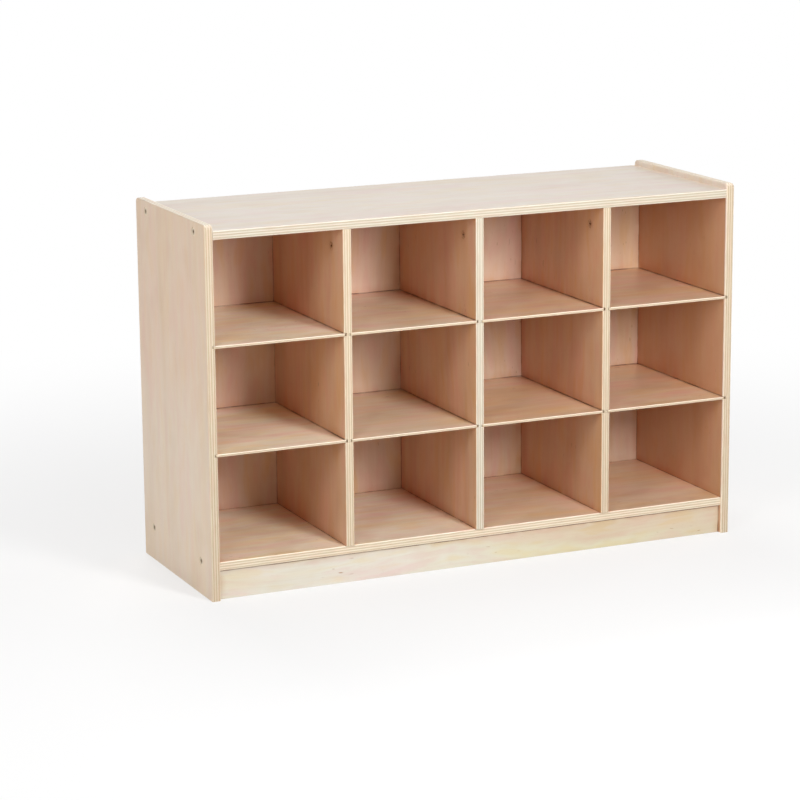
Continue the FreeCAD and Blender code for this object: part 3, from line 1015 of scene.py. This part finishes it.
def set_at_places(tree, given, geometry):
    """A copy of the geometry at every place, its +Z turned the way the place says."""
    way = add(
        tree, "GeometryNodeInputNamedAttribute", {"Name": "way"}, data_type="FLOAT_VECTOR"
    ).outputs["Attribute"]
    turn = add(tree, "FunctionNodeAlignRotationToVector", {"Vector": way}, axis="Z").outputs[0]
    at_points = {"Points": given["Places"], "Instance": geometry, "Rotation": turn}
    copies = add(tree, "GeometryNodeInstanceOnPoints", at_points).outputs[0]
    real = add(tree, "GeometryNodeRealizeInstances", {"Geometry": copies}).outputs[0]
    finish = {"Geometry": real, "Material": given["Finish"]}
    return add(tree, "GeometryNodeSetMaterial", finish).outputs[0]


def threaded_fastener_tree():
    """A turned head joined to a rod with a cut thread and a tapered tip."""
    tree, given, result = new_group(
        "threaded_fasteners",
        {
            "Places": "Geometry",
            "Head": "Object",
            "Finish": "Material",
            "Diameter": "Float",
            "Start": "Float",
            "Length": "Float",
            "Pitch": "Float",
            "Thread Depth": "Float",
            "Tip Length": "Float",
            "Tip Depth": "Float",
        },
        {"Result": "Geometry"},
        "GeometryNodeTree",
    )
    point = split(tree, mesh_position(tree))
    turns = calculate(tree, "ARCTAN2", point["Y"], point["X"])
    turns = calculate(tree, "DIVIDE", turns, 2 * math.pi)
    climbed = calculate(tree, "DIVIDE", point["Z"], given["Pitch"])
    flank = calculate(tree, "PINGPONG", calculate(tree, "SUBTRACT", climbed, turns), 0.5)
    full_depth = calculate(tree, "MULTIPLY", given["Thread Depth"], 2.0)
    thread = calculate(tree, "MULTIPLY", flank, full_depth)
    end = calculate(tree, "ADD", given["Start"], given["Length"])
    from_end = calculate(tree, "SUBTRACT", end, point["Z"])
    from_end = calculate(tree, "DIVIDE", from_end, given["Tip Length"])
    near_end = calculate(tree, "SUBTRACT", 1.0, from_end, clamp=True)
    drawn_in = calculate(tree, "MULTIPLY_ADD", near_end, given["Tip Depth"], thread)
    turn_count = calculate(tree, "DIVIDE", given["Length"], given["Pitch"])
    segments = calculate(tree, "MULTIPLY", turn_count, segments_per_turn)
    rod = shaped_rod(tree, given, thread_sides, segments, given["Start"], drawn_in)
    head = add(tree, "GeometryNodeObjectInfo", {"Object": given["Head"]}).outputs["Geometry"]
    joined = tree.nodes.new("GeometryNodeJoinGeometry")
    tree.links.new(rod, joined.inputs[0])
    tree.links.new(head, joined.inputs[0])
    set_inputs(result, {"Result": set_at_places(tree, given, joined.outputs[0])})
    return tree


def fluted_dowel_tree():
    """A dowel with glue flutes along it and chamfered ends."""
    tree, given, result = new_group(
        "fluted_dowels",
        {
            "Places": "Geometry",
            "Finish": "Material",
            "Diameter": "Float",
            "Length": "Float",
            "Flutes": "Int",
            "Flute Depth": "Float",
            "Chamfer": "Float",
        },
        {"Result": "Geometry"},
        "GeometryNodeTree",
    )
    point = split(tree, mesh_position(tree))
    angle = calculate(tree, "ARCTAN2", point["Y"], point["X"])
    wave = calculate(tree, "COSINE", calculate(tree, "MULTIPLY", angle, given["Flutes"]))
    wave = calculate(tree, "MULTIPLY_ADD", wave, -0.5, 0.5)
    flute = calculate(tree, "MULTIPLY", wave, given["Flute Depth"])
    half = calculate(tree, "DIVIDE", given["Length"], 2.0)
    from_middle = calculate(tree, "ABSOLUTE", calculate(tree, "SUBTRACT", point["Z"], half))
    straight = calculate(tree, "SUBTRACT", half, given["Chamfer"])
    chamfer = calculate(tree, "MAXIMUM", calculate(tree, "SUBTRACT", from_middle, straight), 0.0)
    sides = calculate(tree, "MULTIPLY", given["Flutes"], 2.0)
    segments = calculate(tree, "DIVIDE", given["Length"], given["Chamfer"])
    drawn_in = calculate(tree, "MAXIMUM", flute, chamfer)
    rod = shaped_rod(tree, given, sides, segments, 0.0, drawn_in)
    set_inputs(result, {"Result": set_at_places(tree, given, rod)})
    return tree


def set_fasteners(node, tree, places, values):
    """Plain mesh of all the fasteners of one CAD node, which it stands for."""
    collection = bpy.context.scene.collection
    mesh = bpy.data.meshes.new("places")
    mesh.from_pydata([place for place, way in places], [], [])
    ways = mesh.attributes.new("way", "FLOAT_VECTOR", "POINT").data
    for index, (place, way) in enumerate(places):
        ways[index].vector = way
    maker = bpy.data.objects.new("places", mesh)
    helpers = [maker] + [value for value in values.values() if isinstance(value, bpy.types.Object)]
    for helper in helpers:
        collection.objects.link(helper)
    modifier = maker.modifiers.new("fasteners", "NODES")
    modifier.node_group = tree
    sockets = {item.name: item.identifier for item in tree.interface.items_tree}
    for name, value in values.items():
        modifier[sockets[name]] = value
    evaluated = maker.evaluated_get(bpy.context.evaluated_depsgraph_get())
    made = bpy.data.meshes.new_from_object(evaluated)
    for helper in helpers:
        bpy.data.objects.remove(helper)
    made.shade_smooth()
    made.set_sharp_from_angle(angle=crease_angle)
    piece = bpy.data.objects.new(node + "_finished", made)
    collection.objects.link(piece)
    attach(piece, "carcass")
    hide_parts(node)


def sideways_places(node, depths, heights):
    """Places at a node's left and right ends, turned inwards."""
    return [
        (Vector((end.x, y, z)), way)
        for end, way in ((low_corner(node), X), (high_corner(node), -X))
        for y in depths
        for z in heights
    ]


def upright_places(columns, depths, height):
    return [(Vector((x, y, height)), Z) for x in columns for y in depths]


panel_levels = [middle(node).z for node in level_panels]
divider_columns = [middle(node).x for node in dividers]
kick_board_depths = [middle(node).y for node in kick_boards]


def fit_threaded_fasteners():
    tree = threaded_fastener_tree()
    bolt_depths = (cad_low.y + side_bolt_inset, cad_high.y - side_bolt_inset)
    divider_depths = (cad_low.y + divider_fastener_inset, cad_high.y - divider_fastener_inset)
    kick_board_columns = (-kick_board_cam_spread, kick_board_cam_spread)
    bottom, top = (low_corner(node).z for node in level_panels)
    side_bolt = {
        "Diameter": bolt_diameter,
        "Start": bolt_head_thickness,
        "Length": side_bolt_length - bolt_head_thickness,
        "Pitch": bolt_pitch,
        "Thread Depth": bolt_thread_depth,
        "Tip Length": bolt_tip,
        "Tip Depth": bolt_tip,
    }
    divider_screw = {
        "Diameter": screw_diameter,
        "Start": screw_head_depth,
        "Length": screw_length - screw_head_depth,
        "Pitch": screw_pitch,
        "Thread Depth": screw_thread_depth,
        "Tip Length": screw_tip_length,
        "Tip Depth": screw_tip_depth,
    }
    cam_bolt = {
        "Diameter": bolt_diameter,
        "Start": 0.0,
        "Length": cam_bolt_bite,
        "Pitch": cam_bolt_pitch,
        "Thread Depth": cam_bolt_thread_depth,
        "Tip Length": cam_bolt_tip_length,
        "Tip Depth": cam_bolt_tip_depth,
    }
    bolt_places = sideways_places("side_bolts", bolt_depths, panel_levels)
    screw_places = upright_places(divider_columns, divider_depths, bottom)
    cam_places = upright_places(divider_columns, divider_depths, top)
    kick_board_places = upright_places(kick_board_columns, kick_board_depths, bottom)
    for node, places, head, values in (
        ("side_bolts", bolt_places, bolt_head, side_bolt),
        ("divider_screws", screw_places, screw_head, divider_screw),
        ("divider_cam_bolts", cam_places, cam_bolt_head, cam_bolt),
        ("kick_board_cam_bolts", kick_board_places, cam_bolt_head, cam_bolt),
    ):
        values = {"Head": head(), "Finish": plated_steel, **values}
        set_fasteners(node, tree, places, values)


def fit_dowels():
    tree = fluted_dowel_tree()
    values = {
        "Finish": turned_beech,
        "Diameter": dowel_diameter,
        "Length": dowel_length,
        "Flutes": dowel_flutes,
        "Flute Depth": dowel_flute_depth,
        "Chamfer": dowel_chamfer,
    }
    corner_depths = (-corner_dowel_spread, corner_dowel_spread)
    kick_board_levels = [middle("front_kick_board").z]
    upper_start = low_corner("top_panel").z + dowel_bite - dowel_length
    lower_start = high_corner("bottom_panel").z - dowel_bite
    divider_places = upright_places(divider_columns, [0.0], upper_start)
    divider_places += upright_places(divider_columns, [0.0], lower_start)
    for node, places in (
        ("corner_dowels", sideways_places("corner_dowels", corner_depths, panel_levels)),
        (
            "kick_board_dowels",
            sideways_places("kick_board_dowels", kick_board_depths, kick_board_levels),
        ),
        ("divider_dowels", divider_places),
    ):
        set_fasteners(node, tree, places, values)


fit_threaded_fasteners()
fit_dowels()


def seen_rays(tree):
    """1 for what the eye sees, straight or in a shiny surface, and 0 for light on the cabinet."""
    rays = tree.nodes.new("ShaderNodeLightPath").outputs
    seen = calculate(tree, "MAXIMUM", rays["Is Camera Ray"], rays["Is Glossy Ray"])
    return calculate(tree, "MAXIMUM", seen, rays["Is Transmission Ray"])


def studio_floor():
    """Pale floor that keeps the soft shadow and goes over into the white backdrop."""
    half = floor_half_size
    mesh = bpy.data.meshes.new("studio_floor")
    corners = [(-half, -half, 0), (half, -half, 0), (half, half, 0), (-half, half, 0)]
    mesh.from_pydata(corners, [], [(0, 1, 2, 3)])
    floor = bpy.data.objects.new("studio_floor", mesh)
    bpy.context.scene.collection.objects.link(floor)
    material, tree, shader = new_material("pale_floor")
    position = object_position(tree)
    mottle = remap(tree, noise(tree, position, 3.0, 3.0), 0.3, 0.7, 0.0, 0.3)
    colour = mix_colour(tree, mottle, floor_colour, floor_colour_dull)
    set_inputs(shader, {"Base Color": colour, "Roughness": floor_roughness})
    glow = add(tree, "ShaderNodeEmission", {"Color": white, "Strength": 1.0})
    from_cabinet = vector_node(tree, "LENGTH", position)
    away = remap(tree, from_cabinet, shadow_radius, backdrop_radius, shadow_glow, 1.0)
    glowing = calculate(tree, "MULTIPLY", seen_rays(tree), away)
    blend = {0: glowing, 1: shader.outputs[0], 2: glow.outputs[0]}
    blend = add(tree, "ShaderNodeMixShader", blend).outputs[0]
    set_inputs(tree.get_output_node("ALL"), {"Surface": blend})
    mesh.materials.append(material)


def studio_world():
    """White backdrop to the eye and in reflections, a plain soft light to everything else."""
    world = bpy.data.worlds.new("studio")
    bpy.context.scene.world = world
    world.use_nodes = True
    tree = world.node_tree
    tree.nodes.clear()
    strength = mix_value(tree, seen_rays(tree), world_light, 1.0)
    sky = add(tree, "ShaderNodeBackground", {"Color": white, "Strength": strength})
    add(tree, "ShaderNodeOutputWorld", {"Surface": sky.outputs[0]})


def soft_box(name, azimuth, elevation, power, size, distance, glossy):
    """Lamp aimed at the cabinet's middle."""
    turn, rise = math.radians(azimuth), math.radians(elevation)
    way = Vector(
        (math.sin(turn) * math.cos(rise), -math.cos(turn) * math.cos(rise), math.sin(rise))
    )
    light = bpy.data.lights.new(name, "AREA")
    light.shape = "RECTANGLE"
    light.size, light.size_y = size
    light.energy = power
    lamp = bpy.data.objects.new(name, light)
    bpy.context.scene.collection.objects.link(lamp)
    lamp.visible_glossy = glossy
    lamp.location = (cad_low + cad_high) / 2 + way * distance
    lamp.rotation_euler = (-way).to_track_quat("-Z", "Y").to_euler()


def photograph_camera():
    yaw, pitch, roll = (math.radians(a) for a in (camera_yaw, camera_pitch, camera_roll))
    forward = Vector(
        (math.sin(yaw) * math.cos(pitch), math.cos(yaw) * math.cos(pitch), -math.sin(pitch))
    )
    level = Vector((math.cos(yaw), -math.sin(yaw), 0.0))
    upward = level.cross(forward)
    right = level * math.cos(roll) + upward * math.sin(roll)
    up = upward * math.cos(roll) - level * math.sin(roll)
    data = bpy.data.cameras.new("photograph")
    data.lens = camera_lens
    data.sensor_width = camera_sensor
    camera = bpy.data.objects.new("photograph", data)
    bpy.context.scene.collection.objects.link(camera)
    turn = Matrix((right, up, -forward)).transposed().to_4x4()
    camera.matrix_world = Matrix.Translation(camera_target - forward * camera_distance) @ turn
    bpy.context.scene.camera = camera


studio_floor()
studio_world()
for lamp in lamps:
    soft_box(*lamp)
photograph_camera()
bpy.context.scene.view_settings.view_transform = "Standard"
